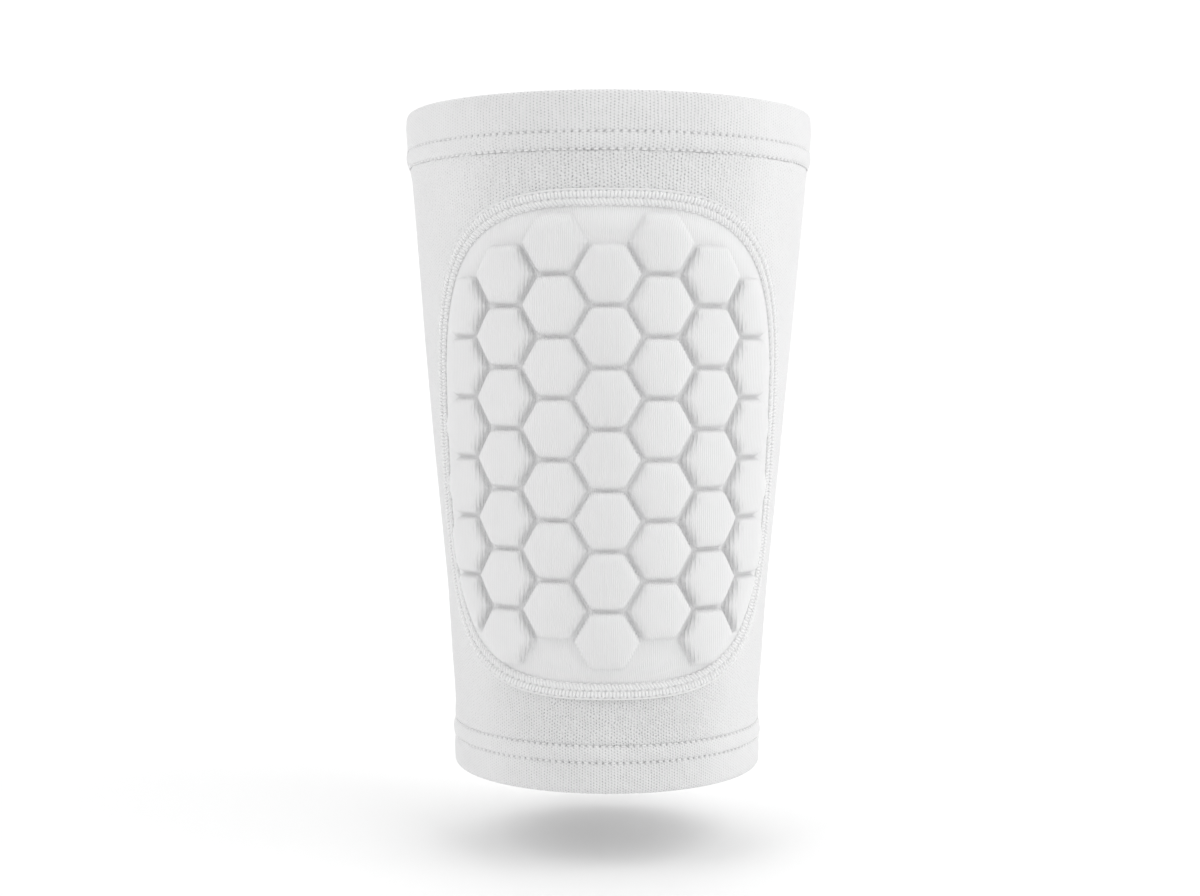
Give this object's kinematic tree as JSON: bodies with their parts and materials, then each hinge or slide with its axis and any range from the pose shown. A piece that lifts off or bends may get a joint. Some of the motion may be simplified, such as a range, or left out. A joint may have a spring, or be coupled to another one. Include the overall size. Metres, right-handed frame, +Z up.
{
  "type": "shin pad sleeve",
  "caption": "Tapered stretch-knit leg sleeve with doubled hems and a foam panel of raised six-sided cells over the shin, pulled on over the foot and worn on the lower leg.",
  "frame": {"origin": "on the leg's axis, halfway between the two rims of the sleeve", "axes": "+Z up the leg towards the knee, -Y forwards over the shin where the pad is, +X to the right seen from the front"},
  "size_m": [0.1308, 0.1324, 0.21],
  "materials": {
    "knit_cloth": "matt elastic knit, white",
    "hem_cloth": "matt ribbed knit, folded double, white",
    "pad_cloth": "fine smooth knit heat-moulded over foam, white",
    "seam_thread": "soft overlock thread with a slight sheen, white"
  },
  "bodies": {
    "root": {"sleeve": "knit_cloth", "top_hem": "hem_cloth", "bottom_hem": "hem_cloth", "pad_panel": "pad_cloth", "pad_seam": "seam_thread"}
  },
  "joints": []
}
